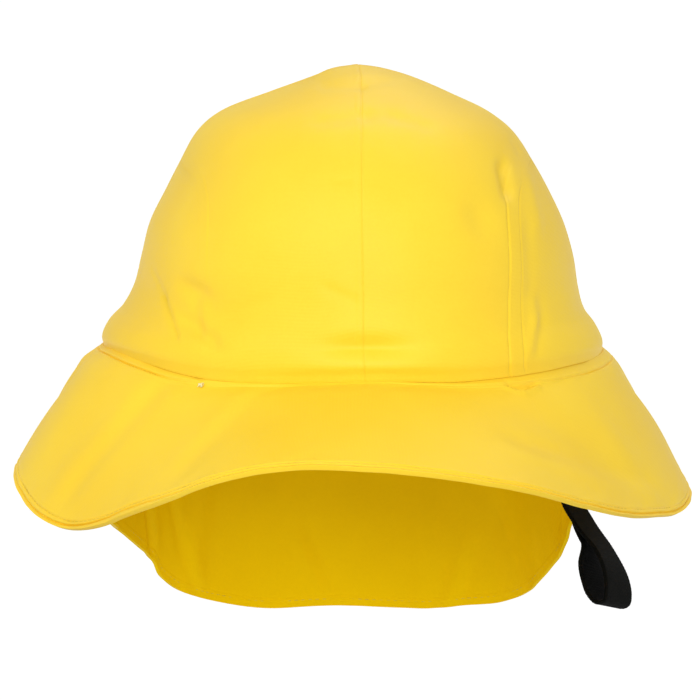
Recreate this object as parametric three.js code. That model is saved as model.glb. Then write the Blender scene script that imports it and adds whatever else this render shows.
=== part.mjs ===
// A yellow rain hat for fishing: a four-panel crown, a sloping brim, a long neck flap and a chin strap.
// Millimetres, +Z up, the front of the hat faces -Y. The origin is the centre of the head opening,
// on the seam where the crown meets the brim.
import * as THREE from "three";
import { mergeVertices } from "three/addons/utils/BufferGeometryUtils.js";

// Cloth and webbing.
const CROWN_WALL = 1.6;
const BRIM_WALL = 2.2;
const WEBBING = { width: 20, thick: 1.5 };
const GAP = 0.3;

// The head opening that the brim is sewn to, and how square its plan is (2 is an ellipse).
const OPENING = { side: 89.9, front: 99.8, back: 99.8, square: 2.15 };
// The side seams of the crown by height: how far they run from the middle. They bend out over the ear.
const SIDE_SEAM = table(
  ["up", "x"],
  [
    [0, 57.2],
    [0.2, 56.4],
    [0.35, 56.8],
    [0.48, 56.4],
    [0.55, 57.2],
    [0.59, 58.8],
    [0.62, 61.4],
    [0.65, 65.5],
    [0.68, 71],
  ],
);
// Angle from the front at which the brim ends and the neck flap starts, on each side.
const FLAP_STARTS = 118;

// The crown in level rings, from its seam (up 0) to its top (up 1): how far it reaches to the left, right,
// front and back, where the centre seam runs, and the height of the ring at its sides, front and back.
const CROWN = table(
  ["up", "left", "right", "seamX", "sideZ", "front", "frontZ", "back", "backZ"],
  [
    [0.0, 91.4, 91.2, 0.4, 0.3, 101.2, 0.3, 101.2, 0.3],
    [0.04, 93.0, 92.0, 0.3, 4.0, 104.4, 4.2, 104.2, 4.2],
    [0.09, 90.6, 89.4, 0.1, 9.5, 105.4, 10.0, 105.0, 10.0],
    [0.15, 85.5, 85.4, 0.0, 15.0, 103.9, 17.0, 104.0, 17.0],
    [0.23, 81.0, 82.8, -0.1, 23.5, 102.8, 26.0, 102.9, 26.0],
    [0.33, 78.2, 81.0, -0.2, 34.5, 102.2, 38.5, 100.8, 38.5],
    [0.43, 75.1, 77.5, -0.3, 46.5, 99.6, 51.0, 97.2, 51.0],
    [0.53, 69.4, 72.2, -0.3, 58.0, 94.8, 62.8, 91.3, 62.5],
    [0.63, 63.7, 66.1, -0.1, 69.0, 87.6, 73.4, 83.2, 73.0],
    [0.73, 57.3, 58.8, 0.1, 80.0, 77.0, 83.2, 72.2, 83.0],
    [0.8, 48.6, 50.0, 0.4, 87.0, 65.0, 90.0, 61.0, 90.2],
    [0.87, 33.8, 38.8, 0.9, 92.4, 49.0, 96.0, 46.5, 96.6],
    [0.94, 17.0, 25.4, 1.5, 98.2, 27.0, 101.6, 26.0, 102.2],
    [1.0, -2.0, 2.0, 2.0, 105.3, 0, 105.3, 0, 105.3],
  ],
);

// The brim and flap round the head, by angle from the front, positive to the right: how far the edge
// reaches from the middle, its height, how far the cloth bellies out, and how the seam rises and dips.
const BRIM = table(
  ["at", "reach", "edgeZ", "belly", "seamZ"],
  [
    [-180, 135, -121.7, 9, 0],
    [-165, 134, -121.2, 9, 0],
    [-150, 127, -112.2, 8, 0],
    [-142, 120, -102.2, 6, 0],
    [-139, 116.4, -95.3, 5, 0],
    [-132, 109, -87.8, 5, 0],
    [-125, 103.5, -82, 4, 0],
    [-116, 102, -73.5, 4, 0],
    [-105, 108.5, -58, 4, 0],
    [-90, 123.4, -43.4, 4.5, 0.6],
    [-81, 127.1, -44.8, 4.8, 1.2],
    [-72, 129.5, -48.8, 5, 1.8],
    [-63, 130.1, -53.2, 4.6, 1.4],
    [-54, 130.6, -55.2, 4, 0.6],
    [-44, 134.2, -51.4, 2.8, -0.5],
    [-34, 141.6, -42.2, 1.7, -1],
    [-20, 156.3, -28.2, 1, -0.8],
    [-10, 161.4, -21.8, 1, -0.2],
    [0, 163, -21.7, 1, 0.4],
    [10, 161.2, -25.4, 1, 0],
    [20, 157, -31.6, 1, -0.7],
    [32, 145.2, -41.3, 1.4, -0.4],
    [44, 135.4, -48.6, 1.7, 0.1],
    [54, 130.2, -52, 2, 0.4],
    [66, 128.2, -54.4, 2.7, 0],
    [78, 126.2, -53.2, 3.4, -0.6],
    [90, 123.2, -52, 4, -1.4],
    [105, 111, -61, 4, -0.6],
    [118, 99, -76.6, 4, 0],
    [125, 103.6, -85, 4.5, 0],
    [132, 110.2, -94.6, 5, 0],
    [142, 121.5, -109.2, 6, 0],
    [150, 129, -116.7, 8, 0],
    [157, 132, -119.4, 8.5, 0],
    [165, 134, -121.9, 9, 0],
  ],
);

// Dents (deep above 0) and bulges (below 0) of the crown: place by angle and height, size, depth.
const CROWN_FOLDS = table(
  ["at", "up", "wide", "tall", "deep"],
  [
    [-4, 0.155, 17, 0.03, 1.6],
    [2, 0.09, 20, 0.03, -0.9],
    [33, 0.47, 5, 0.06, 1.4],
    [-38, 0.2, 8, 0.05, 1.0],
    [62, 0.2, 9, 0.06, -0.8],
    [-66, 0.24, 10, 0.05, 1.0],
    [150, 0.18, 20, 0.05, 1.3],
    [-140, 0.2, 16, 0.05, 1.2],
    [100, 0.17, 14, 0.05, 1.0],
  ],
);

// Soft valleys (deep above 0) and ridges (below 0) of the brim and flap: angle at the seam, angle at
// the edge, width of the fold, depth.
const BRIM_FOLDS = table(
  ["seamAt", "edgeAt", "wide", "deep"],
  [
    [-50, -72, 8, 1.6],
    [-17, -28, 7, 1.2],
    [22, 60, 8, 1.3],
    [48, 57, 5, -0.9],
    [-128, -131, 4, 2.4],
    [-138, -141, 5, -1.6],
    [128, 130, 4, 2.2],
    [139, 142, 5, -1.4],
    [155, 160, 6, 1.1],
    [176, 172, 7, 1.0],
    [-170, -166, 7, 1.2],
  ],
);

// The chin strap's middle line from where it is sewn in, down to the fold and back up to its hidden
// end, with the heading of its width (90 points to the back) and the tilt of its width.
const STRAP = table(
  ["x", "y", "z", "heading", "tilt"],
  [
    [86.0, 12.0, 7.0, 98, 0],
    [86.4, 12.0, -1.0, 97, 0],
    [86.8, 11.5, -20.0, 84, 0],
    [83.4, 9.5, -41.0, 74, 0],
    [81.4, 6.8, -56.5, 68, 0],
    [86.6, 3.0, -67.2, 65, -4],
    [94.0, -1.0, -77.2, 65, -9],
    [98.0, -5.2, -86.0, 58, -13],
    [98.6, -8.2, -92.2, 55, -14],
    [97.8, -8.7, -95.6, 55, -14],
    [95.0, -7.2, -96.6, 55, -14],
    [92.2, -4.8, -94.0, 55, -13],
    [90.6, -2.2, -89.5, 56, -10],
    [89.4, 0.6, -83.6, 59, -6],
    [89.8, 4.0, -76.0, 65, -2],
    [86.6, 7.8, -68.8, 71, 0],
    [83.8, 10.8, -62.0, 74, 0],
  ],
);

// The tab on the other side that the strap closes on, in the same terms.
const CATCH = table(
  ["x", "y", "z", "heading", "tilt"],
  [
    [-86.1, 12.0, 7.0, 82, 0],
    [-86.5, 12.0, -1.0, 83, 0],
    [-87.4, 12.0, -13.0, 85, 0],
    [-87.8, 12.0, -25.0, 87, 0],
  ],
);

// The row of a centre panel that ends at the top of the side seam leaves the centre seam this high up.
const CENTRE_TOP = 0.78;

// How finely each surface is faceted.
const FACETS = { quarter: 8, sidePanel: 10, belowShoulder: 18, aboveShoulder: 8, brimRows: 8, brimStep: 5 };
const RIBBON_STEP = 3.2;

function table(columns, rows) {
  return rows.map((row) => Object.fromEntries(columns.map((name, i) => [name, row[i]])));
}

const radians = THREE.MathUtils.degToRad;
const smoothstep = THREE.MathUtils.smoothstep;

// A smooth curve through one column of a table, as a function of its first column. Angles wrap round.
function follow(rows, key, at, turn = 0) {
  const by = Object.keys(rows[0])[0];
  let points = rows.map((row) => [row[by], row[key]]);
  if (turn) {
    const before = points.slice(-2).map(([x, y]) => [x - turn, y]);
    const after = points.slice(0, 2).map(([x, y]) => [x + turn, y]);
    points = [...before, ...points, ...after];
  }
  const last = points.length - 1;
  let i = 0;
  while (i < last - 1 && points[i + 1][0] <= at) i += 1;
  const slope = (j) => {
    const [low, high] = [points[Math.max(j - 1, 0)], points[Math.min(j + 1, last)]];
    return (high[1] - low[1]) / (high[0] - low[0]);
  };
  const span = points[i + 1][0] - points[i][0];
  const t = (at - points[i][0]) / span;
  const rise = points[i + 1][1] - points[i][1];
  const start = span * slope(i);
  const end = span * slope(i + 1);
  return points[i][1] + start * t + (3 * rise - 2 * start - end) * t ** 2 + (start + end - 2 * rise) * t ** 3;
}

// An angle in degrees, brought to -180..180.
const wrapped = (angle) => THREE.MathUtils.euclideanModulo(angle + 180, 360) - 180;

// The plan of the head opening as a unit curve: x to the right, front towards the face.
function plan(angle) {
  const x = Math.sin(radians(angle));
  const front = Math.cos(radians(angle));
  const n = OPENING.square;
  const scale = (Math.abs(x) ** n + Math.abs(front) ** n) ** (-1 / n);
  return { x: x * scale, front: front * scale };
}

const bump = (from, size) => Math.exp(-((from / size) ** 2));

// The direction away from the head at a point of a surface, from its slopes.
function outward(surface, a, b, stepA, stepB) {
  const alongA = surface(a + stepA, b).sub(surface(a - stepA, b));
  const alongB = surface(a, b + stepB).sub(surface(a, b - stepB));
  return alongA.cross(alongB).normalize();
}

// The crown without its dents.
function crownForm(angle, up) {
  const ring = (key) => follow(CROWN, key, up);
  const { x, front } = plan(angle);
  const [reachY, endZ] = front > 0 ? ["front", "frontZ"] : ["back", "backZ"];
  const half = x > 0 ? ring("right") - ring("seamX") : ring("left") + ring("seamX");
  const toSide = Math.sin(radians(angle)) ** 2;
  const seamFade = THREE.MathUtils.clamp(1 - up / 0.15, 0, 1);
  const z = ring("sideZ") * toSide + ring(endZ) * (1 - toSide) + follow(BRIM, "seamZ", wrapped(angle), 360) * seamFade;
  return new THREE.Vector3(ring("seamX") + half * x, -ring(reachY) * front, z);
}

// A point of the crown's outer face and the direction away from the head there.
function crownPoint(angle, up) {
  const lowest = 0.004;
  const highest = 0.985;
  const away = up > highest
    ? new THREE.Vector3(0, 0, 1)
    : outward(crownForm, angle, Math.max(up, lowest), 0.5, 0.004);
  let deep = 0;
  for (const fold of CROWN_FOLDS) {
    deep += fold.deep * bump(wrapped(angle - fold.at), fold.wide) * bump(up - fold.up, fold.tall);
  }
  return { at: crownForm(angle, up).addScaledVector(away, -deep), away };
}

// The brim and flap without their folds: share runs from 0 at the seam to 1 at the edge.
function brimForm(angle, share) {
  const side = wrapped(angle);
  const { x, front } = plan(angle);
  const seam = new THREE.Vector3(
    OPENING.side * x,
    -(front > 0 ? OPENING.front : OPENING.back) * front,
    follow(BRIM, "seamZ", side, 360),
  );
  const reach = follow(BRIM, "reach", side, 360);
  const away = new THREE.Vector3(Math.sin(radians(angle)), -Math.cos(radians(angle)), 0);
  const edge = away.clone().multiplyScalar(reach).setZ(follow(BRIM, "edgeZ", side, 360));
  const run = reach - Math.hypot(seam.x, seam.y);
  const drop = seam.z - edge.z;
  const slope = Math.hypot(run, drop);
  const peak = 2.165;
  const belly = follow(BRIM, "belly", side, 360) * peak * Math.max(share, 0) ** 0.35 * (1 - share);
  const point = seam.clone().lerp(edge, share).addScaledVector(away, (belly * drop) / slope);
  point.z += ((belly * run) / slope) * smoothstep(share, 0, 0.2);
  return point;
}

// A point of the outer face of the brim or flap and the direction away from the head there.
function brimPoint(angle, share) {
  const inside = THREE.MathUtils.clamp(share, 0.02, 0.99);
  const away = outward(brimForm, angle, inside, 0.5, -0.01);
  let deep = 0;
  for (const fold of BRIM_FOLDS) {
    const middle = THREE.MathUtils.lerp(fold.seamAt, fold.edgeAt, share);
    deep += fold.deep * bump(wrapped(angle - middle), fold.wide) * smoothstep(share, 0.05, 0.6);
  }
  return { at: brimForm(angle, share).addScaledVector(away, -deep), away };
}

// Collects the patches of one cloth piece, and gives them a thickness towards the head.
class Cloth {
  constructor() {
    this.outer = [];
    this.inner = [];
    this.faces = [];
  }

  // A patch of rows by columns; place gives the point and its outward direction.
  patch(rows, columns, place, wall, flipped = false) {
    const first = this.outer.length;
    for (let i = 0; i <= rows; i += 1) {
      for (let j = 0; j <= columns; j += 1) {
        const { at, away } = place(i / rows, j / columns);
        this.outer.push(at);
        this.inner.push(at.clone().addScaledVector(away, -wall));
      }
    }
    const corner = (i, j) => first + i * (columns + 1) + j;
    for (let i = 0; i < rows; i += 1) {
      for (let j = 0; j < columns; j += 1) {
        const [a, b, c, d] = [corner(i, j), corner(i, j + 1), corner(i + 1, j + 1), corner(i + 1, j)];
        const pair = [[a, b, c], [a, c, d]];
        this.faces.push(...(flipped ? pair.map((face) => face.reverse()) : pair));
      }
    }
  }

  // The closed body: outer faces, inner faces and a wall along each free edge.
  geometry() {
    const keys = new Map();
    const corners = this.outer.map((p) => {
      const key = p.toArray().map((value) => Math.round(value * 1000)).join();
      if (!keys.has(key)) keys.set(key, keys.size);
      return keys.get(key);
    });
    const points = [];
    this.outer.forEach((p, i) => (points[corners[i]] ??= { outer: p, inner: this.inner[i] }));
    const faces = this.faces
      .map((face) => face.map((corner) => corners[corner]))
      .filter(([a, b, c]) => a !== b && b !== c && c !== a);
    const edges = new Set(faces.flatMap(([a, b, c]) => [`${a},${b}`, `${b},${c}`, `${c},${a}`]));
    const body = [];
    for (const [a, b, c] of faces) {
      body.push(points[a].outer, points[b].outer, points[c].outer);
      body.push(points[c].inner, points[b].inner, points[a].inner);
      for (const [from, to] of [[a, b], [b, c], [c, a]]) {
        if (edges.has(`${to},${from}`)) continue;
        body.push(points[to].outer, points[from].outer, points[from].inner);
        body.push(points[to].outer, points[from].inner, points[to].inner);
      }
    }
    return mergeVertices(new THREE.BufferGeometry().setFromPoints(body), 1e-4);
  }
}

// The height at which a side seam tops out: the ring there is as wide as the seams are apart.
function shoulderOf(side) {
  const key = side > 0 ? "right" : "left";
  let [low, high] = [0.5, 0.68];
  for (let i = 0; i < 30; i += 1) {
    const middle = (low + high) / 2;
    if (follow(CROWN, key, middle) > follow(SIDE_SEAM, "x", middle)) low = middle;
    else high = middle;
  }
  return low;
}

// The angle from the front, or from the back, at which a ring crosses the side seam.
function seamAngle(side, up, shoulder) {
  if (up >= shoulder) return 90;
  const centre = side * follow(CROWN, "seamX", up);
  const edge = follow(CROWN, side > 0 ? "right" : "left", up);
  const x = Math.min((follow(SIDE_SEAM, "x", up) - centre) / (edge - centre), 1);
  const front = (1 - x ** OPENING.square) ** (1 / OPENING.square);
  return THREE.MathUtils.radToDeg(Math.atan2(x, front));
}

// Moves a cloth point sideways and down, which opens the small gap between neighbouring panels.
function shifted({ at, away }, x, down = 0) {
  return { at: new THREE.Vector3(at.x + x, at.y, at.z - down), away };
}

// A side seam from the crown's base (v 0) over its length to its highest point (v 1), with rows closer
// together near the base.
function seamLine(side) {
  const shoulder = shoulderOf(side);
  const steps = 60;
  const points = [];
  for (let i = 0; i <= steps; i += 1) {
    const up = shoulder * (1 - (1 - i / steps) ** 2);
    const angle = seamAngle(side, up, shoulder);
    const at = crownForm(side * angle, up);
    const before = points.at(-1);
    points.push({ length: before ? before.length + at.distanceTo(before.at) : 0, angle, up, at });
  }
  const place = (v, key) => follow(points, key, points.at(-1).length * v ** 1.5);
  return (v) => ({ angle: place(v, "angle"), up: place(v, "up"), centreUp: CENTRE_TOP * v ** 1.5 });
}

// Half of the strip that runs over the crown, left (side -1) or right (side 1) of the centre seam.
function centrePanel(side) {
  const cloth = new Cloth();
  const shoulder = shoulderOf(side);
  const seam = seamLine(side);
  for (const back of [false, true]) {
    const place = (fromEnd, up) => shifted(crownPoint(side * (back ? 180 - fromEnd : fromEnd), up), (side * GAP) / 2);
    const below = (v, u) => {
      const { angle, up, centreUp } = seam(v);
      return place(u * angle, THREE.MathUtils.lerp(centreUp, up, u ** 2));
    };
    const above = (v, u) => {
      const start = THREE.MathUtils.lerp(CENTRE_TOP, shoulder, u ** 2);
      return place(u * 90, THREE.MathUtils.lerp(start, 1, v));
    };
    const flipped = side > 0 === back;
    cloth.patch(FACETS.belowShoulder, FACETS.quarter, below, CROWN_WALL, flipped);
    cloth.patch(FACETS.aboveShoulder, FACETS.quarter, above, CROWN_WALL, flipped);
  }
  return cloth.geometry();
}

// The panel over one ear, between the front and back stretches of the side seam.
function sidePanel(side) {
  const cloth = new Cloth();
  const seam = seamLine(side);
  const place = (v, u) => {
    const { angle, up } = seam(v);
    const point = crownPoint(side * THREE.MathUtils.lerp(angle, 180 - angle, u), up);
    return shifted(point, side * GAP * 1.5, GAP * v);
  };
  cloth.patch(FACETS.belowShoulder, FACETS.sidePanel, place, CROWN_WALL, side < 0);
  return cloth.geometry();
}

// A stretch of brim or flap between two angles.
function brimPiece(from, to) {
  const cloth = new Cloth();
  const columns = Math.round((to - from) / FACETS.brimStep);
  const place = (v, u) => brimPoint(THREE.MathUtils.lerp(from, to, u), v ** 1.6);
  cloth.patch(FACETS.brimRows, columns, place, BRIM_WALL, true);
  return cloth.geometry();
}

// Flat webbing along a table of sections.
function ribbon(rows) {
  const line = new THREE.CatmullRomCurve3(rows.map(({ x, y, z }) => new THREE.Vector3(x, y, z)), false, "centripetal");
  const numbered = rows.map((row, order) => ({ order, ...row }));
  const steps = Math.round(line.getLength() / RIBBON_STEP);
  const rings = [];
  for (let i = 0; i <= steps; i += 1) {
    const t = line.getUtoTmapping(i / steps);
    const turn = (key) => radians(follow(numbered, key, t * (rows.length - 1)));
    const along = line.getTangent(t);
    const [heading, tilt] = [turn("heading"), turn("tilt")];
    const level = Math.cos(tilt);
    const across = new THREE.Vector3(Math.cos(heading) * level, Math.sin(heading) * level, Math.sin(tilt));
    across.addScaledVector(along, -across.dot(along)).normalize().multiplyScalar(WEBBING.width / 2);
    const through = across.clone().cross(along).normalize().multiplyScalar(WEBBING.thick / 2);
    const middle = line.getPoint(t);
    rings.push([[1, 1], [-1, 1], [-1, -1], [1, -1]].map(([a, b]) =>
      middle.clone().addScaledVector(across, a).addScaledVector(through, b)));
  }
  const body = [];
  const quad = (a, b, c, d) => body.push(a, c, b, a, d, c);
  for (let i = 0; i < steps; i += 1) {
    for (let k = 0; k < 4; k += 1) {
      quad(rings[i][k], rings[i][(k + 1) % 4], rings[i + 1][(k + 1) % 4], rings[i + 1][k]);
    }
  }
  quad(...rings[0].slice().reverse());
  quad(...rings[steps]);
  return mergeVertices(new THREE.BufferGeometry().setFromPoints(body), 1e-4);
}

const coatedCloth = () => new THREE.MeshStandardMaterial({ color: 0xffd21a, roughness: 0.62, metalness: 0 });
const blackWebbing = () => new THREE.MeshStandardMaterial({ color: 0x151614, roughness: 0.85, metalness: 0 });

const hat = new THREE.Group();
hat.name = "fishing_hat";

function add(name, geometry, material) {
  geometry.computeVertexNormals();
  const mesh = new THREE.Mesh(geometry, material);
  mesh.name = name;
  hat.add(mesh);
}

// Half the angle that leaves the small gap between brim and flap at the reach of their joints.
const JOINT = 0.1;
add("crown_centre_left", centrePanel(-1), coatedCloth());
add("crown_centre_right", centrePanel(1), coatedCloth());
add("crown_side_left", sidePanel(-1), coatedCloth());
add("crown_side_right", sidePanel(1), coatedCloth());
add("brim", brimPiece(-FLAP_STARTS + JOINT, FLAP_STARTS - JOINT), coatedCloth());
add("neck_flap", brimPiece(FLAP_STARTS + JOINT, 360 - FLAP_STARTS - JOINT), coatedCloth());
add("chin_strap", ribbon(STRAP), blackWebbing());
add("strap_catch", ribbon(CATCH), blackWebbing());

export default hat;
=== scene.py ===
import math

import bpy
import numpy as np
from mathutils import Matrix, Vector
from mathutils.kdtree import KDTree


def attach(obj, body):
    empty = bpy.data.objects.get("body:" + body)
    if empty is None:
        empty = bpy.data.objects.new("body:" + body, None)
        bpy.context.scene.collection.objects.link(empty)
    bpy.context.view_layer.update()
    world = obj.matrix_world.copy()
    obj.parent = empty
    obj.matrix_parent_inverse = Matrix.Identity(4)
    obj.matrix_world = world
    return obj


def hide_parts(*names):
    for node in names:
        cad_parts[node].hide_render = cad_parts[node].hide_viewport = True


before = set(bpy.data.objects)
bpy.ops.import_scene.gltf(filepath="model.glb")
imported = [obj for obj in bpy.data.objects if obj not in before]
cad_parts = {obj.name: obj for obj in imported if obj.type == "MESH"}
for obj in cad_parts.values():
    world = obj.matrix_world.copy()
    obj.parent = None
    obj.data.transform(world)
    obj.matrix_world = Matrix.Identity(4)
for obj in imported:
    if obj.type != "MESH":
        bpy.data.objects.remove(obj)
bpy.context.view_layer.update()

mm = 0.001

# Helpers for materials
def newMaterial(name):
    material = bpy.data.materials.new(name)
    material.use_nodes = True
    return material, material.node_tree, material.node_tree.nodes["Principled BSDF"]


# Inputs by name, with _ for a space, or by number as i0, i1. Sockets are linked, other values set
def setInputs(tree, node, **inputs):
    for key, value in inputs.items():
        socket = node.inputs[int(key[1:]) if key[1:].isdigit() else key.replace("_", " ")]
        if isinstance(value, bpy.types.NodeSocket):
            tree.links.new(value, socket)
        else:
            socket.default_value = value


def addNode(tree, kind, settings=None, **inputs):
    node = tree.nodes.new(kind)
    for key, value in (settings or {}).items():
        setattr(node, key, value)
    setInputs(tree, node, **inputs)
    return node


def addMath(tree, operation, a, b):
    return addNode(tree, "ShaderNodeMath", {"operation": operation}, i0=a, i1=b).outputs[0]


def addNoise(tree, place, scale, detail, rough=0.5):
    noise = addNode(tree, "ShaderNodeTexNoise", Vector=place, Scale=scale, Detail=detail, Roughness=rough)
    return noise.outputs["Fac"]


def addBump(tree, height, distance, strength, **under):
    bump = addNode(tree, "ShaderNodeBump", Height=height, Distance=distance, Strength=strength, **under)
    return bump.outputs["Normal"]


# Equal ribs, so many to the metre
def addRibs(tree, place, perMetre):
    return addMath(tree, "SINE", addMath(tree, "MULTIPLY", place, 2 * math.pi * perMetre), 0.0)


def addRamp(tree, value, places, colours):
    node = addNode(tree, "ShaderNodeValToRGB", Fac=value)
    for element, place, colour in zip(node.color_ramp.elements, places, colours):
        element.position = place
        element.color = (*colour, 1)
    return node.outputs["Color"]


# Camera, at the photograph's angle
cameraView = {
    "azimuth": -2,
    "elevation": 6.7,
    "distance": 1.5,
    "target": (-0.0011, 0, -0.0015),
    "lens": 207.9,
    "sensor": 36,
    "farthest": 400,
}


def addCamera(values):
    turn = math.radians(values["azimuth"])
    rise = math.radians(values["elevation"])
    back = Vector((math.sin(turn) * math.cos(rise), -math.cos(turn) * math.cos(rise), math.sin(rise)))
    bpy.ops.object.camera_add(location=Vector(values["target"]) + back * values["distance"])
    camera = bpy.context.object
    camera.name = "photoCamera"
    camera.rotation_euler = (-back).to_track_quat("-Z", "Y").to_euler()
    camera.data.lens = values["lens"]
    camera.data.sensor_width = values["sensor"]
    camera.data.clip_end = values["farthest"]
    bpy.context.scene.camera = camera


# Floor and lights
studio = {
    "floorHeight": -1.6,
    "floorSize": 400,
    "floorColour": (0.8, 0.8, 0.8, 1),
    "floorRoughness": 0.9,
    "floorGlow": 0.55,
    "glowFrom": 3,
    "glowTo": 6.8,
    "skyColour": (1, 1, 1, 1),
    "skyStrength": 0.61,
    "lights": {
        "keyLight": {"place": (-0.85, -1.35, 1.1), "size": 0.9, "power": 10.5},
        "frontLight": {"place": (0.12, -1.95, 0.46), "size": 0.36, "power": 12.4},
        "backLight": {"place": (0.4, 1.3, 1.7), "size": 1.2, "power": 9},
    },
}


def addStudio(values):
    bpy.ops.mesh.primitive_plane_add(size=values["floorSize"], location=(0, 0, values["floorHeight"]))
    floor = bpy.context.object
    floor.name = "floor"
    paint, tree, shader = newMaterial("paleFloor")
    # The background is lit on its own, away from the hat
    place = addNode(tree, "ShaderNodeTexCoord").outputs["Object"]
    far = addNode(tree, "ShaderNodeVectorMath", {"operation": "LENGTH"}, i0=place).outputs["Value"]
    limits = {"From_Min": values["glowFrom"], "From_Max": values["glowTo"], "To_Max": values["floorGlow"]}
    glow = addNode(tree, "ShaderNodeMapRange", {"interpolation_type": "SMOOTHSTEP"}, Value=far, **limits)
    setInputs(tree, shader, Base_Color=values["floorColour"], Roughness=values["floorRoughness"])
    setInputs(tree, shader, Emission_Color=(1, 1, 1, 1), Emission_Strength=glow.outputs["Result"])
    floor.data.materials.append(paint)
    world = bpy.context.scene.world or bpy.data.worlds.new("studio")
    bpy.context.scene.world = world
    bpy.context.scene.view_settings.view_transform = "Standard"  # keeps the yellow saturated
    world.use_nodes = True
    sky = world.node_tree.nodes.get("Background") or world.node_tree.nodes.new("ShaderNodeBackground")
    setInputs(world.node_tree, sky, Color=values["skyColour"], Strength=values["skyStrength"])
    for name, row in values["lights"].items():
        bpy.ops.object.light_add(type="AREA", location=row["place"])
        light = bpy.context.object
        light.name = name
        light.rotation_euler = (-Vector(row["place"])).to_track_quat("-Z", "Y").to_euler()
        light.data.size = row["size"]
        light.data.energy = row["power"]


addCamera(cameraView)
addStudio(studio)
print("stage: camera, floor and lights")


# Columns by name, from their names and the rows
def table(columns, rows):
    return {name: np.array([row[i] for row in rows], float) for i, name in enumerate(columns.split())}


# The hat's form, in millimetres, close to that of the solids. The head opening has its reach to the
# side and to front and back, and the power that squares its plan a little
opening = {"side": 89.9, "front": 99.8, "square": 2.15}
crownHigh = 105
# The brim ends and the flap starts at this angle on both sides. The front is at 0
flapStarts = 118
# Share of the crown's height where the lower rows of the centre panels end, at the centre seam
centreTop = 0.78
# Share of the crown's height over which it follows the rise and fall of the seam
seamFades = 0.15
# How the brim bellies out between seam and edge
bellyCurve = {"scale": 2.165, "power": 0.35, "rises": (0, 0.2)}

crown = table("up left right seamX sideZ front frontZ back backZ", [
    [0, 91.4, 91.2, 0.4, 0.1, 103, -0.4, 103, -0.4],
    [0.04, 93, 92, 0.3, 4, 104.9, 4, 104.7, 4],
    [0.09, 90.6, 89.4, 0.1, 9.5, 105.4, 10, 105, 10],
    [0.15, 85.5, 85.4, 0, 15, 103.9, 17, 104, 17],
    [0.23, 81, 82.8, -0.1, 23.5, 102.8, 26, 102.9, 26],
    [0.33, 78.2, 81, -0.2, 34.5, 102.2, 38.5, 100.8, 38.5],
    [0.43, 75.1, 77.5, -0.3, 46.5, 99.6, 51, 97.2, 51],
    [0.53, 69.4, 72.2, -0.3, 58, 94.8, 62.8, 91.3, 62.5],
    [0.63, 63.7, 66.1, -0.1, 69, 87.6, 73.4, 83.2, 73],
    [0.73, 57.3, 58.8, 0.1, 80, 77, 83.2, 72.2, 83],
    [0.8, 48.6, 50, 0.4, 87, 65, 90, 61, 90.2],
    [0.87, 33.8, 38.8, 0.9, 92.4, 49, 96, 46.5, 96.6],
    [0.94, 17, 25.4, 1.5, 98.2, 27, 101.6, 26, 102.2],
    [0.97, 9, 13, 1.8, 102.4, 14.5, 103.2, 14, 103.4],
    [1, -2, 2, 2, 104.4, 0, 104.4, 0, 104.4],
])

brim = table("at reach edgeZ belly seamZ", [
    [-180, 135, -121.7, 9, 0],
    [-165, 134, -121.2, 9, 0],
    [-150, 127, -112.2, 8, 0],
    [-142, 120, -102.2, 6, 0],
    [-139, 116.4, -95.3, 5, 0],
    [-132, 109, -87.8, 5, 0],
    [-125, 103.5, -82, 4, 0],
    [-116, 102, -73.5, 4, 0],
    [-105, 108.5, -58, 4, 0],
    [-90, 123.4, -43.4, 4.5, 0.6],
    [-81, 127.1, -44.8, 4.8, 1.2],
    [-72, 129.5, -48.8, 5, 2.3],
    [-63, 130.1, -53.2, 4.6, 2.5],
    [-54, 130.6, -55.2, 4, 1.9],
    [-44, 134.2, -51.4, 2.8, 0.2],
    [-34, 141.6, -42.2, 1.7, -1],
    [-20, 156.3, -28.2, 1, -0.8],
    [-10, 161.4, -21.8, 1, -0.2],
    [0, 163, -21.7, 1, 0.4],
    [10, 161.2, -25.4, 1, 0],
    [20, 157, -31.6, 1, -0.7],
    [32, 145.2, -41.3, 1.4, -0.4],
    [44, 135.4, -48.6, 1.7, 0.1],
    [54, 130.2, -52, 2, 0.4],
    [66, 128.2, -54.4, 2.7, 0],
    [78, 126.2, -53.2, 3.4, -0.6],
    [90, 123.2, -52, 4, -1.4],
    [105, 111, -61, 4, -0.6],
    [111, 103.5, -65.2, 4, 0],
    [118, 99.2, -72.6, 4, 0],
    [125, 104.4, -84.4, 4.6, 0],
    [132, 110.2, -94.6, 5, 0],
    [142, 121.5, -109.2, 6, 0],
    [150, 129, -116.7, 8, 0],
    [157, 132, -119.4, 8.5, 0],
    [165, 134, -121.9, 9, 0],
])

# Side seams, by share of the crown's height and distance from the middle
sideSeam = table("up x", [
    [0, 57.2],
    [0.2, 56.4],
    [0.35, 56.8],
    [0.48, 56.4],
    [0.55, 57.2],
    [0.59, 58.8],
    [0.62, 61.4],
    [0.65, 65.5],
    [0.68, 71],
])

# Dents (deep above 0) and bulges of the crown, by angle and share of its height
crownFolds = table("at up wide tall deep", [
    [1, 0.105, 11, 0.03, 3.6],
    [2, 0.05, 20, 0.018, -0.6],
    [33, 0.47, 5, 0.06, 1.4],
    [-38, 0.2, 8, 0.05, 1],
    [62, 0.2, 9, 0.06, -0.8],
    [-66, 0.24, 10, 0.05, 1],
    [150, 0.18, 20, 0.05, 1.3],
    [-140, 0.2, 16, 0.05, 1.2],
    [100, 0.17, 14, 0.05, 1],
])

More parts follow.
